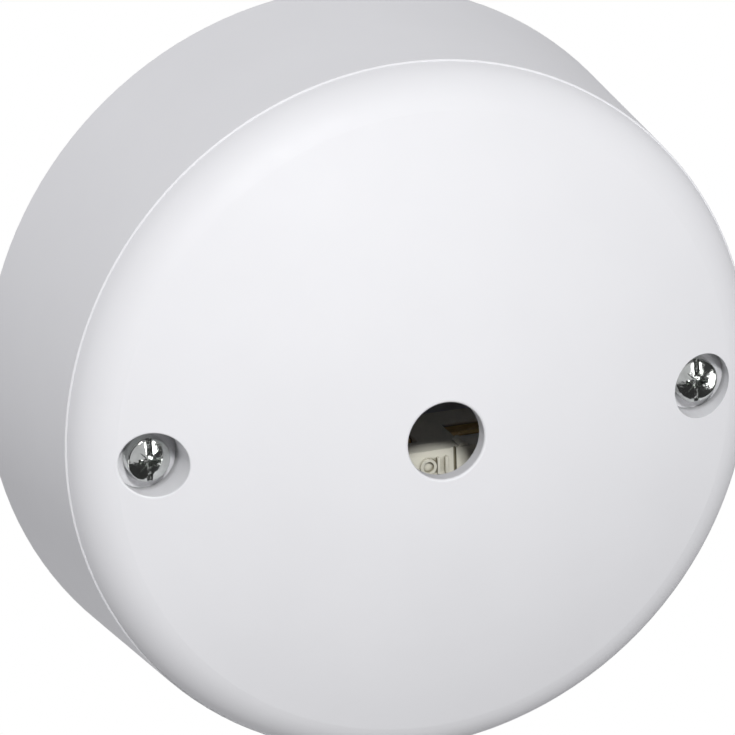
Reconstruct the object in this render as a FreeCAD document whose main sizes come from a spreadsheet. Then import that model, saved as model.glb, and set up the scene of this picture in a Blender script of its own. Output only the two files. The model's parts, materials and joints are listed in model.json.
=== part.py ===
# Electrical ceiling rose: a round drafted box, a domed cover held by two screws,
# and inside a three-way terminal block and a cord grip.
#
# Millimetres. The origin is the centre of the face that lies on the ceiling.
# +Z points up into the ceiling, so the rose hangs down along -Z.
# A size called a depth, a face or a floor is measured from the ceiling, downwards.
# The two cover screws stand on the X axis and the terminal block lies towards +Y.

import FreeCAD, Part
import Sketcher
import math
import os

# Driving dimensions: name, value, meaning
SIZES = [
    # box
    ("box_depth", 27.6, "ceiling face to the joint between box and cover"),
    ("box_rim_radius", 45.1, "outside radius of the box at the joint"),
    ("box_draft", 1.0, "how much wider the box is at the ceiling"),
    ("box_wall", 2.2, "side wall of the box"),
    ("box_floor", 2.5, "thickness of the floor that lies on the ceiling"),
    ("floor_corner", 1.2, "rounding between the floor and the side wall, inside"),
    ("back_break", 0.25, "rounding of the edge that meets the ceiling"),
    ("rim_break", 0.15, "small chamfer round the outer rim of the box"),
    # cover
    ("cover_ledge", 0.2, "rim of the cover inside the rim of the box"),
    ("dome_shoulder", 3.62, "joint to the corner that the dome and the rim would make"),
    ("dome_radius", 107.0, "spherical radius of the dome"),
    ("edge_radius", 7.6, "rounding between dome and joint"),
    ("cover_wall", 2.0, "thickness of the dome"),
    ("spigot_depth", 2.2, "how far the cover reaches into the box"),
    ("spigot_wall", 1.5, "thickness of the ring that enters the box"),
    ("spigot_gap", 0.3, "play between that ring and the box wall"),
    ("cord_hole_radius", 5.0, "outlet for the pendant cord"),
    ("cord_hole_break", 0.3, "rounding of the outlet's outer edge"),
    # what the cover screws pass through
    ("boss_radius", 4.2, "cover screw boss of the box"),
    ("boss_gap", 0.9, "boss to the ring of the cover"),
    ("boss_drop", 0.8, "boss end below the box rim"),
    ("recess_gap", 1.35, "screw head to the wall of its recess"),
    ("recess_depth", 4.0, "depth of the recess on its own axis"),
    ("recess_floor", 1.8, "thickness below the screw head"),
    ("recess_wall", 1.4, "wall of the recess inside the cover"),
    ("recess_break", 0.2, "rounding of the recess's outer edge"),
    ("pillar_radius", 3.4, "short pillar under the recess"),
    ("pillar_gap", 0.3, "pillar to the boss of the box"),
    ("web_thickness", 1.6, "web that joins a boss to the wall"),
    ("web_drop", 0.5, "web end below the cover's ring"),
    # screws
    ("screw_radius", 1.5, "all screws are M3"),
    ("screw_hole_gap", 0.2, "play of a screw in a plain hole"),
    ("thread_gap", 0.05, "running clearance in a threaded hole"),
    ("tip_chamfer", 0.4, "chamfer at a screw's tip"),
    ("tip_room", 0.8, "free hole below a screw's tip"),
    ("pan_radius", 2.8, "head of a cover, grip or block screw"),
    ("pan_side", 2.0, "straight side of that head"),
    ("pan_crown", 0.4, "rise of that head's crown"),
    ("cross_span", 3.3, "length of the cross recess"),
    ("cross_width", 0.8, "width of the cross recess"),
    ("cross_depth", 1.3, "depth of the cross recess"),
    ("slot_width", 0.8, "driver slot across a head"),
    ("slot_depth", 0.8, "depth of that slot"),
    ("cover_screw_length", 16.0, "length under the head"),
    # brass inserts
    ("insert_wall", 0.55, "wall of the threaded insert"),
    ("insert_length", 8.0, "length of the threaded insert"),
    ("insert_groove", 0.35, "depth of the groove round the insert"),
    # fixing slots and cable entry in the floor
    ("fixing_spacing", 60.0, "ceiling fixings, centre to centre"),
    ("fixing_offset", 12.0, "fixings to the centre, towards -Y"),
    ("fixing_slot_radius", 2.25, "half the width of a fixing slot"),
    ("fixing_slot_length", 9.0, "end to end"),
    ("fixing_pad_margin", 3.0, "raised pad round a slot"),
    ("fixing_pad_height", 1.0, "height of that pad over the floor"),
    ("entry_radius", 10.0, "hole for the house cable"),
    ("entry_offset", 26.0, "cable hole to the centre, towards -Y"),
    ("entry_collar_wall", 1.5, "collar round the cable hole"),
    ("entry_collar_height", 1.8, "height of the collar over the floor"),
    # terminal block
    ("way_count", 3, "line, neutral and a loop way"),
    ("channel_width", 6.6, "wire channel and screw wells of a way"),
    ("way_wall", 4.8, "wall between the channels of two ways"),
    ("block_end", 1.7, "block past its outer ways"),
    ("block_front", 6.0, "near side of the block, towards +Y"),
    ("block_lip", 4.7, "front of the block to the first well"),
    ("well_wall", 1.0, "first well to the second"),
    ("block_tail", 2.1, "second well to the back of the block"),
    ("block_proud", 0.4, "face of the block below the joint"),
    ("block_height", 16.0, "block along Z"),
    ("channel_base", 4.5, "block between its back and the brass bars"),
    ("lip_height", 4.5, "solid front over the wire entries"),
    ("lip_step_height", 1.9, "upper band of that front"),
    ("lip_step", 0.3, "how far that band stands back"),
    ("lip_overhang", 1.2, "how far the front stands back below it"),
    ("tip_well_gap", 0.4, "screw to the wall of the hole under the bar"),
    ("way_groove_width", 0.4, "dividing line between two ways"),
    ("way_groove_depth", 0.5, "depth of the dividing line"),
    ("mark_height", 0.4, "raised marks on the face"),
    ("mark_offset", 2.1, "ring mark to the middle of its way"),
    ("mark_inset", 2.0, "marks to the front of the block"),
    ("mark_ring_radius", 1.05, "outside of the ring mark"),
    ("mark_stroke", 0.35, "width of the raised lines"),
    ("mark_gap", 0.1, "ring mark to the first rib mark"),
    ("mark_spacing", 1.05, "rib mark to rib mark"),
    ("nib_radius", 0.6, "half-round nib on the front"),
    ("nib_offset", 1.2, "nib to the dividing line"),
    ("nib_drop", 0.1, "nib end below the face"),
    ("block_corner", 0.8, "rounded upright corners of the block"),
    ("ear_head_gap", 0.4, "head of the ear screw to the block"),
    ("ear_margin", 3.3, "ear screw to the end of its ear"),
    ("ear_width", 7.0, "ear along Y"),
    ("ear_thickness", 3.0, "ear thickness"),
    ("block_screw_length", 8.0, "length under the head"),
    ("pedestal_radius", 3.6, "boss under an ear"),
    ("support_inset", 2.0, "support rib to the block's sides"),
    ("support_thickness", 1.6, "support rib under the block"),
    # brass bars and clamps
    ("bar_thickness", 2.5, "brass bar"),
    ("bar_side_gap", 0.1, "play of the bar in its channel"),
    ("bar_inset", 1.6, "bar end inside the block's side"),
    ("bar_chamfer", 0.3, "broken edge at the bar's ends"),
    ("plate_gap", 0.25, "clamp plate to the wall of its channel"),
    ("plate_thickness", 1.0, "clamp plate"),
    ("plate_rest_gap", 0.05, "tightened plate to the bar"),
    ("wire_groove_radius", 1.0, "wire grooves under the plate"),
    ("wire_groove_depth", 0.3, "depth of those grooves"),
    ("wire_groove_offset", 2.2, "wire groove to the screw"),
    ("clamp_screw_length", 6.2, "length under the head"),
    ("head_gap", 0.7, "head of a terminal screw to its well"),
    ("clamp_head_side", 1.5, "straight side of that head"),
    ("clamp_head_crown", 0.4, "rise of that head's crown"),
    # cord grip
    ("grip_offset", 9.0, "cord grip to the centre, towards -Y"),
    ("grip_length", 24.0, "grip across the cord"),
    ("grip_width", 7.0, "grip along the cord"),
    ("grip_seat", 16.0, "face of the fixed half"),
    ("grip_gap", 0.3, "between the halves when closed"),
    ("grip_screw_inset", 3.5, "grip screw to the end of the grip"),
    ("cord_groove_radius", 3.5, "groove for the cord in each half"),
    ("cord_groove_depth", 3.0, "depth of that groove"),
    ("saddle_bridge", 1.5, "moving half of the grip behind its groove"),
    ("saddle_corner", 1.5, "rounded upright corners of the grip"),
    ("grip_screw_length", 12.0, "length under the head"),
    # how far a cut runs past the face that it opens
    ("overcut", 1.0, "run-out of a cut"),
]

doc = FreeCAD.newDocument("ceiling_rose")
sheet = doc.addObject("Spreadsheet::Sheet", "Sizes")
for row, (name, number, meaning) in enumerate(SIZES, start=1):
    sheet.set(f"A{row}", meaning)
    sheet.set(f"B{row}", str(number))
    sheet.setAlias(f"B{row}", name)
doc.recompute()

NAMES = sorted((name for name, number, meaning in SIZES), key=len, reverse=True)
WORDS = set(NAMES)


def sized(text):
    """The expression with each size's name turned into a cell of the sheet."""
    out = ""
    word = ""
    for letter in str(text) + " ":
        if letter.isalnum() or letter in "_.":
            word += letter
            continue
        out += f"Sizes.{word}" if word in WORDS else word
        out += letter
        word = ""
    return out.strip()


def value(text):
    """The number that an expression has now."""
    return float(sheet.evalExpression(sized(text)))


def bind(thing, prop, text):
    """Tie a property of an object to the sheet."""
    thing.setExpression(prop, sized(text))


# Places worked out from the sizes

BOX_BACK_RADIUS = "(box_rim_radius + box_draft)"
COVER_RADIUS = "(box_rim_radius - cover_ledge)"
SPIGOT_TOP = "(box_depth - spigot_depth)"
SPIGOT_RADIUS = "(box_rim_radius - box_wall - spigot_gap)"
SPIGOT_INSIDE = f"({SPIGOT_RADIUS} - spigot_wall)"
DOME_CENTRE = f"(sqrt(dome_radius^2 - {COVER_RADIUS}^2) - dome_shoulder - box_depth)"
DOME_RISE = f"(dome_radius - {DOME_CENTRE} - box_depth)"

PAN_HEIGHT = "(pan_side + pan_crown)"
CLAMP_HEAD_HEIGHT = "(clamp_head_side + clamp_head_crown)"
SCREW_HOLE = "(screw_radius + screw_hole_gap)"
THREAD_HOLE = "(screw_radius + thread_gap)"
INSERT_RADIUS = f"({THREAD_HOLE} + insert_wall)"
BOSS_END = "(box_depth - boss_drop)"
COVER_SCREW_X = f"({SPIGOT_INSIDE} - boss_gap - boss_radius)"
SCREW_SEAT = f"(sqrt(dome_radius^2 - {COVER_SCREW_X}^2) - {DOME_CENTRE} - recess_depth)"
RECESS_RADIUS = "(pan_radius + recess_gap)"
RECESS_UNDER = f"({SCREW_SEAT} - recess_floor)"

WAY_PITCH = "(channel_width + way_wall)"
BLOCK_HALF = f"({WAY_PITCH} * way_count / 2 + block_end)"
BLOCK_BACK_EDGE = "(block_front + block_lip + 2 * channel_width + well_wall + block_tail)"
BLOCK_MIDDLE = f"((block_front + {BLOCK_BACK_EDGE}) / 2)"
BLOCK_FACE = "(box_depth + block_proud)"
BLOCK_BACK = f"({BLOCK_FACE} - block_height)"
CHANNEL_FLOOR = f"({BLOCK_BACK} + channel_base)"
LIP_TOP = f"({BLOCK_FACE} - lip_height)"
WELL_ROWS = {
    "a": "(block_front + block_lip + channel_width / 2)",
    "b": "(block_front + block_lip + channel_width * 3 / 2 + well_wall)",
}
EAR_SCREW_X = f"({BLOCK_HALF} + ear_head_gap + pan_radius)"
EAR_REACH = f"({EAR_SCREW_X} + ear_margin)"
EAR_FACE = f"({BLOCK_BACK} + ear_thickness)"
BAR_FACE = f"({CHANNEL_FLOOR} + bar_thickness)"
PLATE_SIZE = "(channel_width - 2 * plate_gap)"
PLATE_BACK = f"({BAR_FACE} + plate_rest_gap)"
PLATE_FACE = f"({PLATE_BACK} + plate_thickness)"
CLAMP_HEAD_RADIUS = "(channel_width / 2 - head_gap)"

GRIP_SCREW_X = "(grip_length / 2 - grip_screw_inset)"
SADDLE_BACK = "(grip_seat + grip_gap)"
SADDLE_THICKNESS = "(cord_groove_depth + saddle_bridge)"
SADDLE_FACE = f"({SADDLE_BACK} + {SADDLE_THICKNESS})"


def way_centre(way):
    """X of a way, counted from 0 at the -X end."""
    return f"({WAY_PITCH} * ({way} - (way_count - 1) / 2))"


# Sketches: every corner, centre and radius is held by an expression


def start_body(label):
    body = doc.addObject("PartDesign::Body", label)
    body.Label = label
    return body


def start_sketch(body, name, plane, offset="0"):
    """A sketch on one of the body's own planes, moved along the plane's normal."""
    sketch = body.newObject("Sketcher::SketchObject", name)
    role = [feature for feature in body.Origin.OriginFeatures if feature.Role == plane]
    sketch.AttachmentSupport = (role[0], [""])
    sketch.MapMode = "FlatFace"
    bind(sketch, "AttachmentOffset.Base.z", offset)
    return sketch


def hold_point(sketch, edge, end, x, y):
    """Hold an end of an edge at a place given by two expressions."""
    for axis, kind, text in ((-2, "DistanceX", x), (-1, "DistanceY", y)):
        if text == "0":
            sketch.addConstraint(Sketcher.Constraint("PointOnObject", edge, end, axis))
            continue
        rule = Sketcher.Constraint(kind, -1, 1, edge, end, value(text))
        number = sketch.addConstraint(rule)
        bind(sketch, f"Constraints[{number}]", text)


def hold_radius(sketch, edge, text):
    number = sketch.addConstraint(Sketcher.Constraint("Radius", edge, value(text)))
    bind(sketch, f"Constraints[{number}]", text)


def point(x, y):
    return FreeCAD.Vector(value(x), value(y), 0)


def draw_lines(sketch, corners, closed=True):
    """Straight edges from corner to corner. Returns the first and the last edge."""
    ends = corners[1:] + corners[:1] if closed else corners[1:]
    edges = []
    for here, there in zip(corners, ends):
        line = Part.LineSegment(point(*here), point(*there))
        edges.append(sketch.addGeometry(line))
        hold_point(sketch, edges[-1], 1, *here)
    for before, after in zip(edges, edges[1:]):
        sketch.addConstraint(Sketcher.Constraint("Coincident", before, 2, after, 1))
    if closed:
        joint = Sketcher.Constraint("Coincident", edges[-1], 2, edges[0], 1)
        sketch.addConstraint(joint)
    return edges[0], edges[-1]


def draw_box(sketch, low_x, low_y, high_x, high_y):
    corners = [(low_x, low_y), (high_x, low_y), (high_x, high_y), (low_x, high_y)]
    draw_lines(sketch, corners)


def draw_circle(sketch, x, y, radius):
    circle = Part.Circle(point(x, y), FreeCAD.Vector(0, 0, 1), value(radius))
    edge = sketch.addGeometry(circle)
    hold_point(sketch, edge, 3, x, y)
    hold_radius(sketch, edge, radius)


def draw_slot(sketch, x, y, length, radius):
    """A slot with round ends, lying along X."""
    reach = f"({length}) / 2 - ({radius})"
    left = (f"{x} - ({reach})", y)
    right = (f"{x} + ({reach})", y)
    ends = []
    for centre, turn in ((left, math.pi / 2), (right, -math.pi / 2)):
        ring = Part.Circle(point(*centre), FreeCAD.Vector(0, 0, 1), value(radius))
        arc = Part.ArcOfCircle(ring, turn, turn + math.pi)
        ends.append(sketch.addGeometry(arc))
        hold_point(sketch, ends[-1], 3, *centre)
    hold_radius(sketch, ends[0], radius)
    for start, stop in ((ends[0], ends[1]), (ends[1], ends[0])):
        line = sketch.addGeometry(
            Part.LineSegment(sketch.getPoint(start, 2), sketch.getPoint(stop, 1))
        )
        sketch.addConstraint(Sketcher.Constraint("Tangent", start, 2, line, 1))
        sketch.addConstraint(Sketcher.Constraint("Tangent", line, 2, stop, 1))


# Features. Depths grow downwards, away from the ceiling.


def add_pad(body, name, depth, length, draw):
    """Material from a depth downwards."""
    sketch = start_sketch(body, f"{name}_outline", "XY_Plane", f"-({depth})")
    draw(sketch)
    pad = body.newObject("PartDesign::Pad", name)
    pad.Profile = sketch
    bind(pad, "Length", length)
    pad.Reversed = True
    return pad


def add_pocket(body, name, depth, length, draw):
    """A cut from a depth downwards."""
    sketch = start_sketch(body, f"{name}_outline", "XY_Plane", f"-({depth})")
    draw(sketch)
    pocket = body.newObject("PartDesign::Pocket", name)
    pocket.Profile = sketch
    bind(pocket, "Length", length)
    return pocket


def add_side_pocket(body, name, start, length, draw):
    """A cut along +Y from a place on Y."""
    sketch = start_sketch(body, f"{name}_outline", "XZ_Plane", f"-({start})")
    draw(sketch)
    pocket = body.newObject("PartDesign::Pocket", name)
    pocket.Profile = sketch
    bind(pocket, "Length", length)
    return pocket


def add_revolution(body, name, draw):
    """A turned shape from half an outline in the XZ plane."""
    sketch = start_sketch(body, f"{name}_outline", "XZ_Plane")
    draw(sketch)
    turned = body.newObject("PartDesign::Revolution", name)
    turned.Profile = sketch
    turned.ReferenceAxis = (sketch, ["V_Axis"])
    turned.Angle = 360
    return turned


def add_row(body, name, features, axis, length, count):
    """Copies of some features along an axis of the body."""
    row = body.newObject("PartDesign::LinearPattern", name)
    row.Originals = features
    role = [feature for feature in body.Origin.OriginFeatures if feature.Role == axis]
    row.Direction = (role[0], [""])
    bind(row, "Length", length)
    bind(row, "Occurrences", count)
    body.Tip = row
    return row


def add_dress(body, kind, name, size, chosen):
    """A fillet or chamfer on the edges of the last feature that pass a test."""
    doc.recompute()
    base = body.Tip
    edges = [
        f"Edge{number}"
        for number, edge in enumerate(base.Shape.Edges, start=1)
        if chosen(edge)
    ]
    if not edges:
        raise RuntimeError(f"{name} finds no edge")
    dress = body.newObject(f"PartDesign::{kind}", name)
    dress.Base = (base, edges)
    bind(dress, "Radius" if kind == "Fillet" else "Size", size)
    return dress


def is_upright(edge):
    """True for a straight edge along Z."""
    if edge.Curve.TypeId != "Part::GeomLine":
        return False
    return abs(edge.tangentAt(edge.FirstParameter).z) > 0.999


def is_near(number, text):
    return abs(number - value(text)) < 0.001


def both_sides(draw_one, offset):
    """Draw the same figure at +X and at -X."""

    def draw(sketch):
        for side in (f"({offset})", f"-({offset})"):
            draw_one(sketch, side)

    return draw


# The box


def make_box():
    body = start_body("base_box")

    def cup(sketch):
        draw_lines(
            sketch,
            [
                ("0", "0"),
                (BOX_BACK_RADIUS, "0"),
                ("box_rim_radius", "-box_depth"),
                ("box_rim_radius - box_wall", "-box_depth"),
                (f"{BOX_BACK_RADIUS} - box_wall", "-box_floor"),
                ("0", "-box_floor"),
            ],
        )

    add_revolution(body, "cup", cup)

    def ring_edge(radius, depth):
        """A test for the round edge of that radius at that depth."""
        return (
            lambda edge: edge.Curve.TypeId == "Part::GeomCircle"
            and is_near(edge.Curve.Radius, radius)
            and is_near(edge.CenterOfMass.z, f"-({depth})")
        )

    inside = f"{BOX_BACK_RADIUS} - box_wall"
    add_dress(body, "Fillet", "floor_round", "floor_corner", ring_edge(inside, "box_floor"))
    add_dress(body, "Fillet", "back_round", "back_break", ring_edge(BOX_BACK_RADIUS, "0"))
    inner = "(box_floor / 2)"

    def stand(name, end, draw):
        """Something that stands on the floor and ends at a depth."""
        add_pad(body, name, inner, f"{end} - {inner}", draw)

    def boss(sketch, x):
        draw_circle(sketch, x, "0", "boss_radius")

    stand("cover_screw_bosses", BOSS_END, both_sides(boss, COVER_SCREW_X))

    for side, name in (("", "right"), ("-", "left")):

        def web(sketch):
            near = f"{side}{COVER_SCREW_X}"
            far = f"{side}(box_rim_radius - box_wall / 2)"
            draw_box(sketch, near, "-web_thickness / 2", far, "web_thickness / 2")

        stand(f"boss_web_{name}", f"({SPIGOT_TOP} - web_drop)", web)

    def pedestal(sketch, x):
        draw_circle(sketch, x, BLOCK_MIDDLE, "pedestal_radius")

    stand("block_pedestals", BLOCK_BACK, both_sides(pedestal, EAR_SCREW_X))

    def support(sketch, x):
        draw_box(
            sketch,
            f"{x} - support_thickness / 2",
            "block_front + lip_overhang + support_inset",
            f"{x} + support_thickness / 2",
            f"{BLOCK_BACK_EDGE} - support_inset",
        )

    stand("block_supports", BLOCK_BACK, both_sides(support, f"{WAY_PITCH} / 2"))

    def grip(sketch):
        draw_box(
            sketch,
            "-grip_length / 2",
            "-grip_offset - grip_width / 2",
            "grip_length / 2",
            "-grip_offset + grip_width / 2",
        )

    stand("grip_anvil", "grip_seat", grip)
    add_dress(
        body,
        "Fillet",
        "grip_corners",
        "saddle_corner",
        lambda edge: is_upright(edge)
        and is_near(abs(edge.CenterOfMass.x), "grip_length / 2"),
    )

    def collar(sketch):
        draw_circle(sketch, "0", "-entry_offset", "entry_radius + entry_collar_wall")

    stand("entry_collar", "(box_floor + entry_collar_height)", collar)

    def pad(sketch, x):
        draw_slot(
            sketch,
            x,
            "-fixing_offset",
            "fixing_slot_length + 2 * fixing_pad_margin",
            "fixing_slot_radius + fixing_pad_margin",
        )

    stand(
        "fixing_pads",
        "(box_floor + fixing_pad_height)",
        both_sides(pad, "fixing_spacing / 2"),
    )

    def bore(name, start, end, draw):
        """A hole between two depths."""
        add_pocket(body, name, start, f"{end} - ({start})", draw)

    def insert_seat(sketch, x):
        draw_circle(sketch, x, "0", INSERT_RADIUS)

    bore(
        "insert_seats",
        f"{BOSS_END} - insert_length",
        f"({BOSS_END} + overcut)",
        both_sides(insert_seat, COVER_SCREW_X),
    )

    def tip_room(sketch, x):
        draw_circle(sketch, x, "0", SCREW_HOLE)

    bore(
        "insert_tip_rooms",
        f"{SCREW_SEAT} - cover_screw_length - tip_room",
        BOSS_END,
        both_sides(tip_room, COVER_SCREW_X),
    )

    def pedestal_bore(sketch, x):
        draw_circle(sketch, x, BLOCK_MIDDLE, THREAD_HOLE)

    bore(
        "pedestal_bores",
        f"{EAR_FACE} - block_screw_length - tip_room",
        f"({BLOCK_BACK} + overcut)",
        both_sides(pedestal_bore, EAR_SCREW_X),
    )

    def grip_bore(sketch, x):
        draw_circle(sketch, x, "-grip_offset", THREAD_HOLE)

    bore(
        "grip_bores",
        f"{SADDLE_FACE} - grip_screw_length - tip_room",
        "(grip_seat + overcut)",
        both_sides(grip_bore, GRIP_SCREW_X),
    )

    def cord_groove(sketch):
        centre = "-(grip_seat + cord_groove_radius - cord_groove_depth)"
        draw_circle(sketch, "0", centre, "cord_groove_radius")

    add_side_pocket(
        body,
        "cord_groove",
        "-grip_offset - grip_width / 2 - overcut",
        "grip_width + 2 * overcut",
        cord_groove,
    )

    def entry(sketch):
        draw_circle(sketch, "0", "-entry_offset", "entry_radius")

    bore("cable_entry", "-overcut", "(box_floor + entry_collar_height + overcut)", entry)

    def fixing(sketch, x):
        draw_slot(sketch, x, "-fixing_offset", "fixing_slot_length", "fixing_slot_radius")

    bore(
        "ceiling_fixings",
        "-overcut",
        "(box_floor + fixing_pad_height + overcut)",
        both_sides(fixing, "fixing_spacing / 2"),
    )
    add_dress(body, "Chamfer", "rim_edge", "rim_break", ring_edge("box_rim_radius", "box_depth"))
    return body


# The cover


def dome_outline(sketch, rise, sphere, edge, rim, foot):
    """Half a domed cap: a spherical arc, a tangent rounding that ends at the rim
    on the level of the joint, and straight lines back to the axis."""
    top = value(DOME_CENTRE)
    level = value("-box_depth")
    reach = value(sphere) - value(edge)
    across = value(rim)
    down = level - top
    span = math.hypot(across, down)
    along = (reach**2 - value(edge) ** 2 + span**2) / (2 * span)
    aside = math.sqrt(reach**2 - along**2)
    middle_x = (along * across + aside * down) / span
    middle_z = top + (along * down - aside * across) / span
    meet = math.atan2(middle_z - top, middle_x)
    stop = math.atan2(level - middle_z, across - middle_x)
    up = FreeCAD.Vector(0, 0, 1)
    big = Part.Circle(FreeCAD.Vector(0, top, 0), up, value(sphere))
    small = Part.Circle(FreeCAD.Vector(middle_x, middle_z, 0), up, value(edge))
    dome = sketch.addGeometry(Part.ArcOfCircle(big, -math.pi / 2, meet))
    rounding = sketch.addGeometry(Part.ArcOfCircle(small, meet, stop))
    sketch.addConstraint(Sketcher.Constraint("Tangent", dome, 2, rounding, 1))
    hold_radius(sketch, dome, sphere)
    hold_radius(sketch, rounding, edge)
    sketch.addConstraint(Sketcher.Constraint("PointOnObject", dome, 3, -2))
    apex = f"-(box_depth + {rise})"
    hold_point(sketch, dome, 1, "0", apex)
    first, last = draw_lines(sketch, [(rim, "-box_depth"), *foot, ("0", apex)], False)
    sketch.addConstraint(Sketcher.Constraint("Coincident", rounding, 2, first, 1))
    sketch.addConstraint(Sketcher.Constraint("Coincident", last, 2, dome, 1))


def turned_solid(name, draw):
    """A full turn of a sketch that stands in the XZ plane of the document."""
    sketch = doc.addObject("Sketcher::SketchObject", f"{name}_outline")
    sketch.Placement = FreeCAD.Placement(
        FreeCAD.Vector(0, 0, 0), FreeCAD.Rotation(FreeCAD.Vector(1, 0, 0), 90)
    )
    draw(sketch)
    turned = doc.addObject("Part::Revolution", name)
    turned.Source = sketch
    turned.Axis = (0, 0, 1)
    turned.Base = (0, 0, 0)
    turned.Angle = 360
    turned.Solid = True
    return turned


def cylinder(name, x, radius, depth, length):
    """An upright cylinder from a depth downwards, on the X axis."""
    shape = doc.addObject("Part::Cylinder", name)
    bind(shape, "Radius", radius)
    bind(shape, "Height", length)
    bind(shape, "Placement.Base.x", x)
    bind(shape, "Placement.Base.z", f"-({depth}) - ({length})")
    return shape


def fused(name, shapes):
    joined = doc.addObject("Part::MultiFuse", name)
    joined.Shapes = shapes
    return joined


def cut(name, base, tool):
    result = doc.addObject("Part::Cut", name)
    result.Base = base
    result.Tool = tool
    return result


def make_cover():
    def outside(sketch):
        foot = [(SPIGOT_RADIUS, "-box_depth"), (SPIGOT_RADIUS, f"-{SPIGOT_TOP}")]
        foot.append(("0", f"-{SPIGOT_TOP}"))
        dome_outline(sketch, DOME_RISE, "dome_radius", "edge_radius", COVER_RADIUS, foot)

    def inside(sketch):
        foot = [(SPIGOT_INSIDE, f"-{SPIGOT_TOP} + overcut")]
        foot.append(("0", f"-{SPIGOT_TOP} + overcut"))
        dome_outline(
            sketch,
            f"({DOME_RISE} - cover_wall)",
            "dome_radius - cover_wall",
            "edge_radius - cover_wall",
            SPIGOT_INSIDE,
            foot,
        )

    solid = turned_solid("cover_outside", outside)
    hollow = turned_solid("cover_inside", inside)
    past = f"box_depth + {DOME_RISE}"
    kept = []
    drilled = []
    for side, x in (("left", f"-{COVER_SCREW_X}"), ("right", COVER_SCREW_X)):
        tube = f"{past} - {RECESS_UNDER}"
        kept.append(
            cylinder(f"recess_tube_{side}", x, f"{RECESS_RADIUS} + recess_wall", RECESS_UNDER, tube)
        )
        pillar_end = f"({BOSS_END} + pillar_gap)"
        pillar = f"{RECESS_UNDER} - {pillar_end} + recess_floor / 2"
        kept.append(cylinder(f"pillar_{side}", x, "pillar_radius", pillar_end, pillar))
        recess = f"{past} - ({SCREW_SEAT})"
        drilled.append(cylinder(f"recess_{side}", x, RECESS_RADIUS, SCREW_SEAT, recess))
        hole = f"{past} - {SPIGOT_TOP}"
        drilled.append(cylinder(f"screw_hole_{side}", x, SCREW_HOLE, SPIGOT_TOP, hole))
    outlet = f"{past} + overcut - {SPIGOT_TOP}"
    drilled.append(cylinder("cord_outlet", "0", "cord_hole_radius", SPIGOT_TOP, outlet))
    room = cut("cover_room", hollow, fused("recess_tubes", kept))
    shell = cut("cover_shell", solid, room)
    moulding = cut("cover_moulding", shell, fused("cover_holes", drilled))
    doc.recompute()
    rounds = []
    for number, edge in enumerate(moulding.Shape.Edges, start=1):
        box = edge.BoundBox
        surface_z = value(DOME_CENTRE) - math.sqrt(
            max(value("dome_radius") ** 2 - box.Center.x**2, 0)
        )
        outer = box.Center.z < surface_z + value("cover_wall") / 2
        if abs(box.Center.y) < 0.01 and outer:
            if abs(box.XLength - 2 * value(RECESS_RADIUS)) < 0.01:
                rounds.append((number, value("recess_break"), value("recess_break")))
            elif abs(box.XLength - 2 * value("cord_hole_radius")) < 0.01:
                rounds.append((number, value("cord_hole_break"), value("cord_hole_break")))
    cover = doc.addObject("Part::Fillet", "cover")
    cover.Base = moulding
    cover.Edges = rounds
    cover.Label = "cover"
    return cover


# Screws and inserts


def make_screw(label, length, radius, side, height, x, y, depth):
    """A machine screw whose head seats at a depth and faces down."""
    body = start_body(label)

    def turned(sketch):
        corners = [
            ("0", f"-({height})"),
            ("0", length),
            ("screw_radius - tip_chamfer", length),
            ("screw_radius", f"{length} - tip_chamfer"),
            ("screw_radius", "0"),
            (radius, "0"),
            (radius, f"-({side})"),
        ]
        first, last = draw_lines(sketch, corners, False)
        drop = value(height) - value(side)
        wide = value(radius)
        curve = (wide**2 + drop**2) / (2 * drop)
        centre = FreeCAD.Vector(0, curve - value(height), 0)
        ring = Part.Circle(centre, FreeCAD.Vector(0, 0, 1), curve)
        lean = math.asin(wide / curve)
        arc = Part.ArcOfCircle(ring, -math.pi / 2, -math.pi / 2 + lean)
        crown = sketch.addGeometry(arc)
        sketch.addConstraint(Sketcher.Constraint("Coincident", crown, 1, first, 1))
        sketch.addConstraint(Sketcher.Constraint("Coincident", crown, 2, last, 2))
        sketch.addConstraint(Sketcher.Constraint("PointOnObject", crown, 3, -2))
        hold_point(sketch, last, 2, radius, f"-({side})")

    add_revolution(body, "turned", turned)

    def cross(sketch):
        slim = "cross_width / 2"
        far = "cross_span / 2"
        quarter = [(slim, slim), (slim, far), (f"-{slim}", far)]
        corners = []
        for turn in range(4):
            for across, along in quarter:
                corners.append(turned_corner(across, along, turn))
        draw_lines(sketch, corners)

    add_pocket(body, "cross_recess", f"{height} - cross_depth", "cross_depth + overcut", cross)

    def slot(sketch):
        far = f"{radius} + overcut"
        draw_box(sketch, "-slot_width / 2", f"-({far})", "slot_width / 2", far)

    add_pocket(body, "driver_slot", f"{height} - slot_depth", "slot_depth + overcut", slot)
    bind(body, "Placement.Base.x", x)
    bind(body, "Placement.Base.y", y)
    bind(body, "Placement.Base.z", f"-({depth})")
    return body


def turned_corner(across, along, turn):
    """A corner turned by quarter turns about the centre."""
    x, y = across, along
    for quarter in range(turn):
        x, y = negative(y), x
    return x, y


def negative(text):
    return text[1:] if text.startswith("-") else f"-{text}"


def make_pan_screw(label, length, x, y, depth):
    return make_screw(label, length, "pan_radius", "pan_side", PAN_HEIGHT, x, y, depth)


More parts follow.
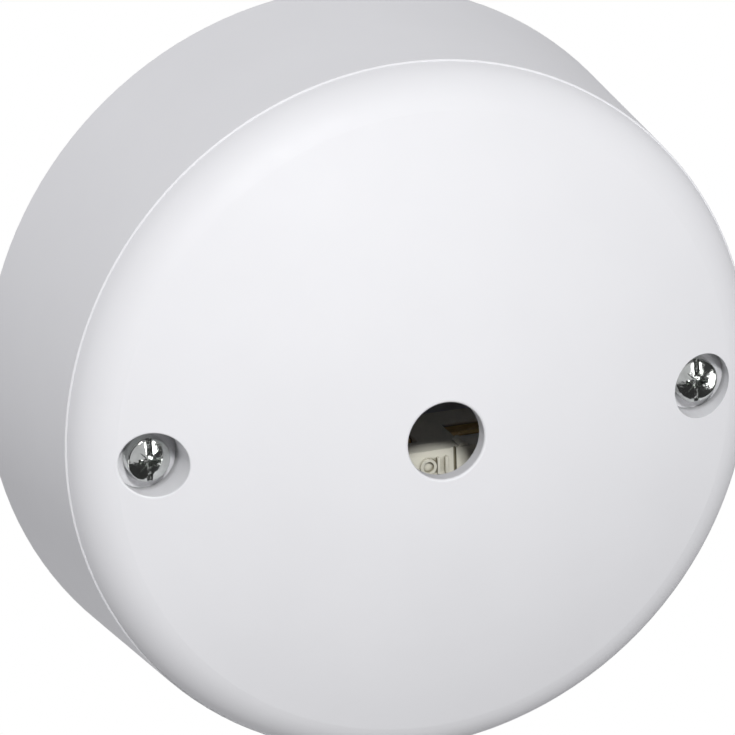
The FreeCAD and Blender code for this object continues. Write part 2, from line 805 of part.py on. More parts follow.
def make_insert(label, x):
    """A brass insert with one groove round its middle."""
    body = start_body(label)

    def turned(sketch):
        third = "insert_length / 3"
        corners = [
            (THREAD_HOLE, "0"),
            (INSERT_RADIUS, "0"),
            (INSERT_RADIUS, third),
            (f"{INSERT_RADIUS} - insert_groove", f"{third} + insert_groove"),
            (f"{INSERT_RADIUS} - insert_groove", f"2 * {third} - insert_groove"),
            (INSERT_RADIUS, f"2 * {third}"),
            (INSERT_RADIUS, "insert_length"),
            (THREAD_HOLE, "insert_length"),
        ]
        draw_lines(sketch, corners)

    add_revolution(body, "turned", turned)
    bind(body, "Placement.Base.x", x)
    bind(body, "Placement.Base.z", f"-{BOSS_END}")
    return body


# The terminal block


def make_block():
    body = start_body("terminal_block")

    def outline(sketch):
        draw_box(sketch, f"-{BLOCK_HALF}", "block_front", BLOCK_HALF, BLOCK_BACK_EDGE)

    add_pad(body, "block", BLOCK_BACK, "block_height", outline)
    add_dress(body, "Fillet", "corners", "block_corner", is_upright)

    def ears(sketch):
        draw_box(
            sketch,
            f"-{EAR_REACH}",
            f"{BLOCK_MIDDLE} - ear_width / 2",
            EAR_REACH,
            f"{BLOCK_MIDDLE} + ear_width / 2",
        )

    add_pad(body, "ears", BLOCK_BACK, "ear_thickness", ears)
    add_dress(
        body,
        "Fillet",
        "ear_corners",
        "ear_width / 3",
        lambda edge: is_upright(edge)
        and is_near(abs(edge.CenterOfMass.x), EAR_REACH),
    )

    def front_band(name, depth, length, back):
        def band(sketch):
            past = f"{BLOCK_HALF} + overcut"
            draw_box(sketch, f"-({past})", "block_front - overcut", past, f"block_front + {back}")

        add_pocket(body, name, depth, length, band)

    above = f"({BLOCK_BACK} - overcut)"
    front_band("under_lip", above, f"{LIP_TOP} - {above}", "lip_overhang")
    front_band("upper_band", LIP_TOP, "lip_step_height", "lip_step")

    def nib(sketch, x):
        draw_circle(sketch, x, "block_front", "nib_radius")

    add_pad(
        body,
        "nibs",
        f"{LIP_TOP} + lip_step_height",
        "lip_height - lip_step_height - nib_drop",
        both_sides(nib, f"{WAY_PITCH} / 2 + nib_offset"),
    )

    def ear_hole(sketch, x):
        draw_circle(sketch, x, BLOCK_MIDDLE, SCREW_HOLE)

    add_pocket(
        body,
        "ear_holes",
        f"{BLOCK_BACK} - overcut",
        "ear_thickness + 2 * overcut",
        both_sides(ear_hole, EAR_SCREW_X),
    )

    def groove(sketch, x):
        draw_box(
            sketch,
            f"{x} - way_groove_width / 2",
            "block_front - overcut",
            f"{x} + way_groove_width / 2",
            f"{BLOCK_BACK_EDGE} + overcut",
        )

    add_pocket(
        body,
        "way_grooves",
        f"{BLOCK_FACE} - way_groove_depth",
        "way_groove_depth + overcut",
        both_sides(groove, f"{WAY_PITCH} / 2"),
    )

    first = way_centre("0")
    low_x = f"{first} - channel_width / 2"
    high_x = f"{first} + channel_width / 2"

    def channel(sketch):
        draw_box(sketch, low_x, f"-{LIP_TOP}", high_x, f"-{CHANNEL_FLOOR}")

    channels = add_side_pocket(
        body,
        "channel",
        "block_front - overcut",
        f"{BLOCK_BACK_EDGE} - block_front + 2 * overcut",
        channel,
    )

    def wells(sketch):
        for row in WELL_ROWS.values():
            low_y = f"{row} - channel_width / 2"
            draw_box(sketch, low_x, low_y, high_x, f"{row} + channel_width / 2")

    depth = f"{BLOCK_FACE} - {CHANNEL_FLOOR} + overcut"
    well = add_pocket(body, "wells", CHANNEL_FLOOR, depth, wells)

    def tip_wells(sketch):
        for row in WELL_ROWS.values():
            draw_circle(sketch, first, row, "screw_radius + tip_well_gap")

    tip_top = f"({PLATE_FACE} - clamp_screw_length - tip_room)"
    tip_depth = f"{CHANNEL_FLOOR} - {tip_top} + overcut"
    tips = add_pocket(body, "tip_wells", tip_top, tip_depth, tip_wells)

    def marks(sketch):
        middle = "block_front + mark_inset"
        ring_x = f"{first} + mark_offset"
        draw_circle(sketch, ring_x, middle, "mark_ring_radius")
        draw_circle(sketch, ring_x, middle, "mark_ring_radius - mark_stroke")
        for rib in range(2):
            first_rib = f"{ring_x} + mark_ring_radius + mark_gap + mark_stroke / 2"
            rib_x = f"{first_rib} + mark_spacing * {rib}"
            draw_box(
                sketch,
                f"{rib_x} - mark_stroke / 2",
                f"{middle} - mark_ring_radius",
                f"{rib_x} + mark_stroke / 2",
                f"{middle} + mark_ring_radius",
            )

    raised = add_pad(body, "marks", BLOCK_FACE, "mark_height", marks)
    reach = f"{WAY_PITCH} * (way_count - 1)"
    add_row(body, "ways", [channels, well, tips, raised], "X_Axis", reach, "way_count")
    return body


def make_bar(label, way):
    """A brass bar with two threaded holes, lying in its channel."""
    body = start_body(label)

    def outline(sketch):
        half = "(channel_width / 2 - bar_side_gap)"
        low = "block_front + bar_inset"
        draw_box(sketch, f"-{half}", low, half, f"{BLOCK_BACK_EDGE} - bar_inset")

    add_pad(body, "bar", CHANNEL_FLOOR, "bar_thickness", outline)
    add_dress(
        body,
        "Chamfer",
        "bar_ends",
        "bar_chamfer",
        lambda edge: is_near(edge.CenterOfMass.z, f"-{BAR_FACE}")
        and is_near(edge.CenterOfMass.x, "0"),
    )

    def holes(sketch):
        for row in WELL_ROWS.values():
            draw_circle(sketch, "0", row, THREAD_HOLE)

    add_pocket(
        body,
        "threaded_holes",
        f"{CHANNEL_FLOOR} - overcut",
        "bar_thickness + 2 * overcut",
        holes,
    )
    bind(body, "Placement.Base.x", way_centre(way))
    return body


def make_plate(label, way, row):
    """A square clamp plate with two wire grooves on the side of the bar."""
    body = start_body(label)
    half = f"{PLATE_SIZE} / 2"

    def outline(sketch):
        draw_box(sketch, f"-{half}", f"-{half}", half, half)

    add_pad(body, "plate", "0", "plate_thickness", outline)

    def hole(sketch):
        draw_circle(sketch, "0", "0", SCREW_HOLE)

    add_pocket(body, "screw_hole", "-overcut", "plate_thickness + 2 * overcut", hole)

    def grooves(sketch, x):
        draw_circle(sketch, x, "wire_groove_radius - wire_groove_depth", "wire_groove_radius")

    add_side_pocket(
        body,
        "wire_grooves",
        f"-{PLATE_SIZE} / 2 - overcut",
        f"{PLATE_SIZE} + 2 * overcut",
        both_sides(grooves, "wire_groove_offset"),
    )
    bind(body, "Placement.Base.x", way_centre(way))
    bind(body, "Placement.Base.y", row)
    bind(body, "Placement.Base.z", f"-{PLATE_BACK}")
    return body


# The cord grip's moving half


def make_saddle():
    body = start_body("cord_grip_saddle")

    def outline(sketch):
        draw_box(
            sketch,
            "-grip_length / 2",
            "-grip_offset - grip_width / 2",
            "grip_length / 2",
            "-grip_offset + grip_width / 2",
        )

    add_pad(body, "saddle", SADDLE_BACK, SADDLE_THICKNESS, outline)
    add_dress(body, "Fillet", "corners", "saddle_corner", is_upright)

    def holes(sketch, x):
        draw_circle(sketch, x, "-grip_offset", SCREW_HOLE)

    add_pocket(
        body,
        "screw_holes",
        f"{SADDLE_BACK} - overcut",
        f"{SADDLE_THICKNESS} + 2 * overcut",
        both_sides(holes, GRIP_SCREW_X),
    )

    def cord_groove(sketch):
        centre = f"-({SADDLE_BACK} - cord_groove_radius + cord_groove_depth)"
        draw_circle(sketch, "0", centre, "cord_groove_radius")

    add_side_pocket(
        body,
        "cord_groove",
        "-grip_offset - grip_width / 2 - overcut",
        "grip_width + 2 * overcut",
        cord_groove,
    )
    return body


# All the pieces, in the order in which they are put together

pieces = [make_box(), make_block()]
for side, sign in (("left", "-"), ("right", "")):
    pieces.append(make_insert(f"screw_insert_{side}", f"{sign}{COVER_SCREW_X}"))
    pieces.append(
        make_pan_screw(
            f"block_screw_{side}",
            "block_screw_length",
            f"{sign}{EAR_SCREW_X}",
            BLOCK_MIDDLE,
            EAR_FACE,
        )
    )
for way in range(int(value("way_count"))):
    pieces.append(make_bar(f"terminal_bar_{way + 1}", way))
    for row_name, row in WELL_ROWS.items():
        place = f"{way + 1}{row_name}"
        pieces.append(make_plate(f"clamp_plate_{place}", way, row))
        pieces.append(
            make_screw(
                f"terminal_screw_{place}",
                "clamp_screw_length",
                CLAMP_HEAD_RADIUS,
                "clamp_head_side",
                CLAMP_HEAD_HEIGHT,
                way_centre(way),
                row,
                PLATE_FACE,
            )
        )
pieces.append(make_saddle())
for side, sign in (("left", "-"), ("right", "")):
    pieces.append(
        make_pan_screw(
            f"grip_screw_{side}",
            "grip_screw_length",
            f"{sign}{GRIP_SCREW_X}",
            "-grip_offset",
            SADDLE_FACE,
        )
    )
pieces.append(make_cover())
for side, sign in (("left", "-"), ("right", "")):
    pieces.append(
        make_pan_screw(
            f"cover_screw_{side}",
            "cover_screw_length",
            f"{sign}{COVER_SCREW_X}",
            "0",
            SCREW_SEAT,
        )
    )

doc.recompute()
failed = [thing.Name for thing in doc.Objects if {"Invalid", "Error"} & set(thing.State)]
if failed:
    raise RuntimeError(f"these objects failed: {failed}")
for piece in pieces:
    if piece.Shape.isNull() or not piece.Shape.isValid() or len(piece.Shape.Solids) != 1:
        raise RuntimeError(f"{piece.Label} is not one valid solid")

os.makedirs("parts", exist_ok=True)
for piece in pieces:
    piece.Shape.exportStep(f"parts/{piece.Label}.step")
    print(f"{piece.Label}: {piece.Shape.Volume:.1f} cubic mm")
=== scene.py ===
# Looks of the electrical ceiling rose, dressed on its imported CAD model.
#
# Metres, in the frame of the CAD model: the ceiling is the plane z = 0 and the rose
# hangs down along -Z. The screws are built again with their threads, slots and cross
# recesses. The block, the saddle and the stampings get their broken edges. All the
# rest keeps its CAD surface under a procedural material.

import json
import math

import bmesh
import bpy
from mathutils import Matrix, Vector

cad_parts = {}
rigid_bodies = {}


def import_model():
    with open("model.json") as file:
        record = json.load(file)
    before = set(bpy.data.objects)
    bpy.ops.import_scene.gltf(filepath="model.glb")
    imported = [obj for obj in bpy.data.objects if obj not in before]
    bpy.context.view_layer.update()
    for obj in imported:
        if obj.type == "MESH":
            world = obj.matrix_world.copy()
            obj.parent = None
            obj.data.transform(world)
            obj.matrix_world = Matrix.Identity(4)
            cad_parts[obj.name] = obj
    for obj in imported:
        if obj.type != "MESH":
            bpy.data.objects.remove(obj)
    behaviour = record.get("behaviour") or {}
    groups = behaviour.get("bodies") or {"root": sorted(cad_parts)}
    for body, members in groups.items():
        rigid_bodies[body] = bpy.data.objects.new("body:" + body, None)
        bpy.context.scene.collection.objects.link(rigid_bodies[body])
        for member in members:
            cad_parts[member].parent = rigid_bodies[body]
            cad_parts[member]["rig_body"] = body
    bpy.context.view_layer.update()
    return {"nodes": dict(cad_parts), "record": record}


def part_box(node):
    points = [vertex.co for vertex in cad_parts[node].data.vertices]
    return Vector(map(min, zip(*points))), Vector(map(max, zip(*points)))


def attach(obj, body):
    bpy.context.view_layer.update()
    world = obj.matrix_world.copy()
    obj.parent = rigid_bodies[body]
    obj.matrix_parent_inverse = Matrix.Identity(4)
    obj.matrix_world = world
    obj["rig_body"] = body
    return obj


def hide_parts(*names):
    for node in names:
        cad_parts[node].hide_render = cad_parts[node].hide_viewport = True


MM = 0.001

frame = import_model()
nodes = frame["nodes"]
slot_of = {piece["node"]: piece["material_slot"] for piece in frame["record"]["subparts"]}


# Camera: the sight line and roll that give the outlines of the photograph

PHOTO_SIZE = 735
FOCAL_PIXELS = 20000.0
SENSOR_WIDTH = 36.0
CLIP_END = 100.0
SIGHT_AZIMUTH = math.radians(-132.722)
SIGHT_ELEVATION = math.radians(-62.4221)
CAMERA_ROLL = math.radians(-47.5181)
CAMERA_DISTANCE = 2.47164
AIM = Vector((-5.387, -5.998, -27.6)) * MM


def camera_axes():
    """Right, up and back of the camera, as columns."""
    back = Vector(
        (
            math.cos(SIGHT_ELEVATION) * math.cos(SIGHT_AZIMUTH),
            math.cos(SIGHT_ELEVATION) * math.sin(SIGHT_AZIMUTH),
            math.sin(SIGHT_ELEVATION),
        )
    )
    level = Vector((0, 0, 1)) - back * back.z
    up = Matrix.Rotation(CAMERA_ROLL, 3, back) @ level.normalized()
    return Matrix((up.cross(back), up, back)).transposed()


AXES = camera_axes()


def make_camera():
    data = bpy.data.cameras.new("photo_camera")
    data.sensor_width = SENSOR_WIDTH
    data.lens = FOCAL_PIXELS * SENSOR_WIDTH / PHOTO_SIZE
    data.clip_end = CLIP_END
    camera = bpy.data.objects.new("photo_camera", data)
    place = AIM + AXES.col[2] * CAMERA_DISTANCE
    camera.matrix_world = Matrix.Translation(place) @ AXES.to_4x4()
    bpy.context.scene.collection.objects.link(camera)
    bpy.context.scene.camera = camera


# Materials

AO_SAMPLES = 8


class Shader:
    """A node material with a Principled shader and short ways to add nodes."""

    def __init__(self, name, **inputs):
        self.material = bpy.data.materials.new(name)
        self.material.use_nodes = True
        self.tree = self.material.node_tree
        self.surface = self.tree.nodes["Principled BSDF"]
        for label, value in inputs.items():
            self.surface.inputs[label.replace("_", " ")].default_value = value
        self.place = self.tree.nodes.new("ShaderNodeTexCoord").outputs["Object"]

    def add(self, kind, **settings):
        node = self.tree.nodes.new(kind)
        for name, value in settings.items():
            setattr(node, name, value)
        return node

    def link(self, out, socket):
        self.tree.links.new(out, socket)

    def drive(self, label, out):
        """Let a node's output set an input of the Principled shader."""
        self.link(out, self.surface.inputs[label])

    def stretched(self, scale):
        """The object's coordinates, scaled by a different amount on each axis."""
        mapping = self.add("ShaderNodeMapping")
        mapping.inputs["Scale"].default_value = scale
        self.link(self.place, mapping.inputs["Vector"])
        return mapping.outputs["Vector"]

    def noise(self, size, detail=2.0, roughness=0.5, place=None):
        """Smooth noise whose blobs are about that size, in metres."""
        node = self.add("ShaderNodeTexNoise")
        node.inputs["Scale"].default_value = 1 / size
        node.inputs["Detail"].default_value = detail
        node.inputs["Roughness"].default_value = roughness
        self.link(place or self.place, node.inputs["Vector"])
        return node.outputs["Fac"]

    def spread(self, out, low, high, start=0.3, stop=0.7):
        """Map a factor between start and stop to a range of values."""
        node = self.add("ShaderNodeMapRange")
        for label, value in (
            ("From Min", start),
            ("From Max", stop),
            ("To Min", low),
            ("To Max", high),
        ):
            node.inputs[label].default_value = value
        self.link(out, node.inputs["Value"])
        return node.outputs["Result"]

    def tint(self, out, first, second):
        """Two colours mixed by a factor."""
        node = self.add("ShaderNodeMix", data_type="RGBA")
        node.inputs["A"].default_value = (*first, 1)
        node.inputs["B"].default_value = (*second, 1)
        self.link(out, node.inputs["Factor"])
        return node.outputs["Result"]

    def paint_corner_shade(self, colour, shade_colour, reach, start, stop):
        """Painted shade: a colour that turns to the shade colour in corners shut in by surfaces
        nearer than the reach.
        """
        open_sky = self.add("ShaderNodeAmbientOcclusion", samples=AO_SAMPLES)
        open_sky.inputs["Distance"].default_value = reach
        node = self.add("ShaderNodeMix", data_type="RGBA")
        node.inputs["A"].default_value = (*shade_colour, 1)
        self.link(colour, node.inputs["B"])
        self.link(self.spread(open_sky.outputs["AO"], 0, 1, start, stop), node.inputs["Factor"])
        return node.outputs["Result"]

    def bumps(self, *layers):
        """Bump layers, each a height output and its depth in metres."""
        normal = None
        for height, depth in layers:
            node = self.add("ShaderNodeBump")
            node.inputs["Distance"].default_value = depth
            self.link(height, node.inputs["Height"])
            if normal:
                self.link(normal, node.inputs["Normal"])
            normal = node.outputs["Normal"]
        self.drive("Normal", normal)


# Marks on the mouldings
PLASTIC_IOR = 1.5
SINK_SIZE = 14 * MM
SINK_DEPTH = 0.03 * MM
FLOW_SIZE = 3 * MM
FLOW_GLOSS = 0.03
FLOW_DULLING = 0.04
GRAIN_SIZE = 0.16 * MM
GRAIN_ROUGHNESS = 0.6

# Marks on the plated screws and plates. A stretch below 1 draws them out along that axis.
STAIN_SIZE = 1.1 * MM
CLEAN_SHARE = 0.7
STAINED_SHARE = 1.5
DENT_SIZE = 0.7 * MM
SCRATCH_SIZE = 0.12 * MM
SCRATCH_DEPTH = 0.002 * MM
SCRATCH_STRETCH = (1.0, 0.12, 1.0)

# Colours and marks of the brass
BRASS_COLOUR = (0.80, 0.60, 0.27)
BRASS_TARNISH = (0.62, 0.44, 0.19)
TARNISH_SIZE = 2.5 * MM
BRASS_ROUGHNESS = 0.22
TARNISH_ROUGHNESS = 0.38
DRAWING_SIZE = 0.25 * MM
DRAWING_DEPTH = 0.004 * MM
DRAWING_STRETCH = (1.0, 0.03, 1.0)


def moulded_plastic(name, colour, cloud, roughness, grain, painted_corner_shade):
    """Satin thermoplastic: spark-eroded grain, slow sink waves, and painted shade that darkens
    its corners and recesses.
    """
    shader = Shader(name, IOR=PLASTIC_IOR)
    clouds = shader.noise(SINK_SIZE, detail=3)
    flow = shader.noise(FLOW_SIZE, detail=2)
    texture = shader.noise(GRAIN_SIZE, detail=3, roughness=GRAIN_ROUGHNESS)
    tinted = shader.tint(shader.spread(clouds, 0, 1), colour, cloud)
    # The base colour carries painted shade where corners and recesses close in.
    shader.drive("Base Color", shader.paint_corner_shade(tinted, **painted_corner_shade))
    gloss = shader.spread(flow, roughness - FLOW_GLOSS, roughness + FLOW_DULLING)
    shader.drive("Roughness", gloss)
    shader.bumps((clouds, SINK_DEPTH), (texture, grain))
    return shader.material


def plated_metal(name, colour, stain, roughness, dent):
    """Plated steel: small dents from the header's die, fine scratches, faint staining."""
    shader = Shader(name, Metallic=1.0)
    stains = shader.noise(STAIN_SIZE, detail=4)
    dents = shader.noise(DENT_SIZE, detail=2)
    scratches = shader.noise(SCRATCH_SIZE, detail=2, place=shader.stretched(SCRATCH_STRETCH))
    shader.drive("Base Color", shader.tint(shader.spread(stains, 0, 1), colour, stain))
    gloss = shader.spread(stains, roughness * CLEAN_SHARE, roughness * STAINED_SHARE)
    shader.drive("Roughness", gloss)
    shader.bumps((dents, dent), (scratches, SCRATCH_DEPTH))
    return shader.material


def rolled_brass(name):
    """Bare brass: drawing lines along Y, a little tarnish."""
    shader = Shader(name, Metallic=1.0)
    tarnish = shader.noise(TARNISH_SIZE, detail=4)
    lines = shader.noise(DRAWING_SIZE, detail=3, place=shader.stretched(DRAWING_STRETCH))
    colour = shader.tint(shader.spread(tarnish, 0, 1), BRASS_COLOUR, BRASS_TARNISH)
    shader.drive("Base Color", colour)
    shader.drive("Roughness", shader.spread(tarnish, BRASS_ROUGHNESS, TARNISH_ROUGHNESS))
    shader.bumps((lines, DRAWING_DEPTH))
    return shader.material


WHITE_PLASTIC = {
    "colour": (0.80, 0.80, 0.825),
    "cloud": (0.785, 0.785, 0.81),
    "roughness": 0.58,
    "grain": 0.0022 * MM,
    # Painted shade: the white turns towards this grey in corners and recesses, such as round
    # the screw heads.
    "painted_corner_shade": {"shade_colour": (0.14, 0.14, 0.14), "reach": 3.0 * MM, "start": 0.12, "stop": 0.37},
}
CREAM_PLASTIC = {
    "colour": (0.86, 0.84, 0.74),
    "cloud": (0.82, 0.80, 0.69),
    "roughness": 0.36,
    "grain": 0.002 * MM,
    # Painted shade: the cream turns darker round the raised marks and in the block's corners.
    "painted_corner_shade": {"shade_colour": (0.20, 0.18, 0.12), "reach": 0.7 * MM, "start": 0.45, "stop": 0.80},
}
BRIGHT_PLATING = {
    "colour": (0.80, 0.82, 0.80),
    "stain": (0.62, 0.64, 0.62),
    "roughness": 0.09,
    "dent": 0.03 * MM,
}
DULL_PLATING = {
    "colour": (0.66, 0.67, 0.66),
    "stain": (0.52, 0.53, 0.52),
    "roughness": 0.26,
    "dent": 0.006 * MM,
}

materials = {
    "box_plastic": moulded_plastic("box_plastic", **WHITE_PLASTIC),
    "cover_plastic": moulded_plastic("cover_plastic", **WHITE_PLASTIC),
    "block_plastic": moulded_plastic("block_plastic", **CREAM_PLASTIC),
    "bright_screw": plated_metal("bright_screw", **BRIGHT_PLATING),
    "plated_steel": plated_metal("plated_steel", **DULL_PLATING),
    "brass": rolled_brass("brass"),
}


def dress(thing, slot):
    """Give an object the one material of its slot."""
    thing.data.materials.clear()
    thing.data.materials.append(materials[slot])


def take_over(thing, node):
    """Let a new piece stand for a CAD node."""
    dress(thing, slot_of[node])
    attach(thing, nodes[node]["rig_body"])
    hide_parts(node)


# Meshes

CUTTER_ANGLE = math.radians(35)
SCREW_ANGLE = math.radians(32)
EDGE_ANGLE = math.radians(40)
FLAT_ANGLE = math.radians(1.0)
WELD_DISTANCE = 0.001 * MM
BREAK_STEPS = 2
BLOCK_BREAK = 0.12 * MM
SADDLE_BREAK = 0.2 * MM
STAMPING_BREAK = 0.12 * MM


def new_object(name, mesh):
    thing = bpy.data.objects.new(name, mesh)
    bpy.context.scene.collection.objects.link(thing)
    return thing


def smooth_shaded(mesh, sharp):
    """Shade smooth, apart from edges sharper than that angle."""
    mesh.shade_smooth()
    mesh.set_sharp_from_angle(angle=sharp)
    return mesh


def solid_mesh(name, bm, sharp):
    bmesh.ops.recalc_face_normals(bm, faces=bm.faces)
    mesh = bpy.data.meshes.new(name)
    bm.to_mesh(mesh)
    bm.free()
    return smooth_shaded(mesh, sharp)


def work_in_modifiers(thing):
    """Give the object the mesh that its modifiers make of it."""
    graph = bpy.context.evaluated_depsgraph_get()
    mesh = bpy.data.meshes.new_from_object(thing.evaluated_get(graph))
    thing.modifiers.clear()
    thing.data = mesh


def broken_edges(node, width):
    """A CAD solid again, with its sharp edges rounded by that width."""
    bm = bmesh.new()
    bm.from_mesh(nodes[node].data)
    bmesh.ops.remove_doubles(bm, verts=bm.verts, dist=WELD_DISTANCE)
    bmesh.ops.dissolve_limit(bm, angle_limit=FLAT_ANGLE, verts=bm.verts, edges=bm.edges)
    thing = new_object(f"{node}_finished", solid_mesh(node, bm, EDGE_ANGLE))
    bevel = thing.modifiers.new("edges", "BEVEL")
    bevel.width = width
    bevel.segments = BREAK_STEPS
    bevel.limit_method = "ANGLE"
    bevel.angle_limit = EDGE_ANGLE
    bevel.harden_normals = True
    work_in_modifiers(thing)
    take_over(thing, node)


# Screws: a rounded head with a slot and a cross recess, and a rolled thread

TURN_STEPS = 40

SCREW_RADIUS = 1.5 * MM
THREAD_PITCH = 0.5 * MM
THREAD_DEPTH = 0.28 * MM
ROWS_PER_TURN = 6
TIP_LENGTH = 0.4 * MM
TIP_SHARE = 0.8

HEAD_CROWN = 0.4 * MM
HEAD_CORNER = 0.22 * MM
SEAT_BREAK = 0.08 * MM
CROWN_SHARES = (0.2, 0.4, 0.6, 0.75, 0.9)
CORNER_SHARES = (0.0, 0.2, 0.4, 0.6, 0.8, 1.0)

# Recesses of the head. A cutter narrows from its start above the head to its end.
CUTTER_START = 0.5 * MM
CROSS_DEPTH = 1.3 * MM
CROSS_SPAN = 3.3 * MM
CROSS_WIDTH = 0.8 * MM
CROSS_END_SPAN = 1.5 * MM
CROSS_END_WIDTH = 0.5 * MM
SPAN_FLARE = 1.12
WIDTH_FLARE = 1.1
HEART_WIDTH = 1.75 * MM
HEART_END_WIDTH = 0.9 * MM
HEART_LIFT = 0.15 * MM
TICK_DEPTH = 0.22 * MM
TICK_SPAN = 4.4 * MM
TICK_WIDTH = 0.5 * MM
TICK_END_SPAN = 3.4 * MM
TICK_END_WIDTH = 0.02 * MM
SLOT_DEPTH = 0.8 * MM
SLOT_WIDTH = 0.8 * MM
SLOT_NARROWING = 0.85
SLOT_REACH = 2.4

# Kind, length under the head, CAD nodes
SCREW_KINDS = (
    ("cover_screw", 16.0 * MM, ("cover_screw_left", "cover_screw_right")),
    ("grip_screw", 12.0 * MM, ("grip_screw_left", "grip_screw_right")),
    ("block_screw", 8.0 * MM, ("block_screw_left", "block_screw_right")),
    (
        "terminal_screw",
        6.2 * MM,
        [f"terminal_screw_{way}{row}" for way in "123" for row in "ab"],
    ),
)


def ring_of(bm, radius_at, z):
    """A closed ring of vertices round the axis."""
    ring = []
    for step in range(TURN_STEPS):
        turn = 2 * math.pi * step / TURN_STEPS
        radius = radius_at(turn)
        ring.append(bm.verts.new((radius * math.cos(turn), radius * math.sin(turn), z)))
    return ring


def bridge(bm, below, above):
    for step in range(TURN_STEPS):
        after = (step + 1) % TURN_STEPS
        bm.faces.new((below[step], below[after], above[after], above[step]))


def cap(bm, ring, z):
    centre = bm.verts.new((0, 0, z))
    for step in range(TURN_STEPS):
        bm.faces.new((ring[step], ring[(step + 1) % TURN_STEPS], centre))


def head_profile(radius, height):
    """Radius and z of the head from near its crown's middle to its seat at z = 0."""
    sphere = (radius**2 + HEAD_CROWN**2) / (2 * HEAD_CROWN)
    inset = radius - HEAD_CORNER
    reach = sphere - HEAD_CORNER
    lean = math.asin(inset / reach)
    corner_z = sphere - height - math.sqrt(reach**2 - inset**2)
    points = []
    for share in CROWN_SHARES:
        across = sphere * math.sin(lean) * share
        points.append((across, sphere - height - math.sqrt(sphere**2 - across**2)))
    for share in CORNER_SHARES:
        turn = -math.pi / 2 + lean + share * (math.pi / 2 - lean)
        across = inset + HEAD_CORNER * math.cos(turn)
        points.append((across, corner_z + HEAD_CORNER * math.sin(turn)))
    points.append((radius, -SEAT_BREAK))
    points.append((radius - SEAT_BREAK, 0))
    return points


def thread_radius(turn, z, length):
    """Radius of the thread at a turn and a height, run out towards its two ends."""
    phase = (z / THREAD_PITCH - turn / (2 * math.pi)) % 1.0
    tooth = 1 - abs(2 * phase - 1)
    depth = THREAD_DEPTH * min(1.0, max(0.0, (z - THREAD_PITCH) / THREAD_PITCH))
    taper = min(1.0, (length - z) / TIP_LENGTH)
    return (SCREW_RADIUS - depth * (1 - tooth)) * (TIP_SHARE + (1 - TIP_SHARE) * taper)


def tapered_bar(length, width, end_length, end_width, top, bottom):
    """A bar along X that narrows from its top to its bottom, as a bmesh."""
    bm = bmesh.new()
    corners = ((-1, -1), (1, -1), (1, 1), (-1, 1))
    rings = []
    for along, across, z in ((length, width, top), (end_length, end_width, bottom)):
        rings.append([bm.verts.new((x * along / 2, y * across / 2, z)) for x, y in corners])
    bm.faces.new(rings[0])
    bm.faces.new(reversed(rings[1]))
    for step in range(4):
        after = (step + 1) % 4
        bm.faces.new((rings[0][step], rings[0][after], rings[1][after], rings[1][step]))
    return bm


def driver_cutters(radius, height):
    """The cross with its square heart, the four ticks between its wings, and the slot."""
    start = -height - CUTTER_START
    cross_end = CROSS_DEPTH - height
    wing = (
        CROSS_SPAN * SPAN_FLARE,
        CROSS_WIDTH * WIDTH_FLARE,
        CROSS_END_SPAN,
        CROSS_END_WIDTH,
        start,
        cross_end,
    )
    heart = (
        HEART_WIDTH,
        HEART_WIDTH,
        HEART_END_WIDTH,
        HEART_END_WIDTH,
        start,
        cross_end + HEART_LIFT,
    )
    tick = (TICK_SPAN, TICK_WIDTH, TICK_END_SPAN, TICK_END_WIDTH, start, TICK_DEPTH - height)
    slot = (
        SLOT_REACH * radius,
        SLOT_WIDTH * WIDTH_FLARE,
        SLOT_REACH * radius,
        SLOT_WIDTH * SLOT_NARROWING,
        start,
        SLOT_DEPTH - height,
    )
    shapes = (
        (wing, 0),
        (wing, math.pi / 2),
        (heart, math.pi / 4),
        (tick, math.pi / 4),
        (tick, -math.pi / 4),
        (slot, math.pi / 2),
    )
    cutters = []
    for sizes, turn in shapes:
        bm = tapered_bar(*sizes)
        bm.transform(Matrix.Rotation(turn, 4, "Z"))
        cutters.append(new_object("cutter", solid_mesh("cutter", bm, CUTTER_ANGLE)))
    return cutters


def screw_mesh(name, radius, height, length):
    """A whole screw with its seat at z = 0, its head below and its tip above."""
    bm = bmesh.new()
    rings = [ring_of(bm, lambda turn, r=r: r, z) for r, z in head_profile(radius, height)]
    rings.append(ring_of(bm, lambda turn: SCREW_RADIUS, 0))
    rows = int(length / THREAD_PITCH * ROWS_PER_TURN)
    for row in range(1, rows + 1):
        z = length * row / rows
        rings.append(ring_of(bm, lambda turn, z=z: thread_radius(turn, z, length), z))
    for below, above in zip(rings, rings[1:]):
        bridge(bm, below, above)
    cap(bm, rings[0], -height)
    cap(bm, rings[-1], length)
    blank = new_object(name, solid_mesh(name, bm, CUTTER_ANGLE))
    cutters = driver_cutters(radius, height)
    for number, cutter in enumerate(cutters):
        cut = blank.modifiers.new(f"cut_{number}", "BOOLEAN")
        cut.operation = "DIFFERENCE"
        cut.object = cutter
        cut.solver = "EXACT"
    work_in_modifiers(blank)
    mesh = blank.data
    for spent in (*cutters, blank):
        bpy.data.objects.remove(spent)
    return smooth_shaded(mesh, SCREW_ANGLE)


def make_screws():
    for kind, length, places in SCREW_KINDS:
        low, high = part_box(places[0])
        height = high.z - low.z - length
        mesh = screw_mesh(kind, (high.x - low.x) / 2, height, length)
        for place in places:
            low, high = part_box(place)
            seat = Vector(((low.x + high.x) / 2, (low.y + high.y) / 2, high.z - length))
            own = mesh.copy()
            own.transform(Matrix.Translation(seat))
            take_over(new_object(f"{place}_finished", own), place)


# Surroundings: a pale floor, a white world, and four lamps placed round the camera

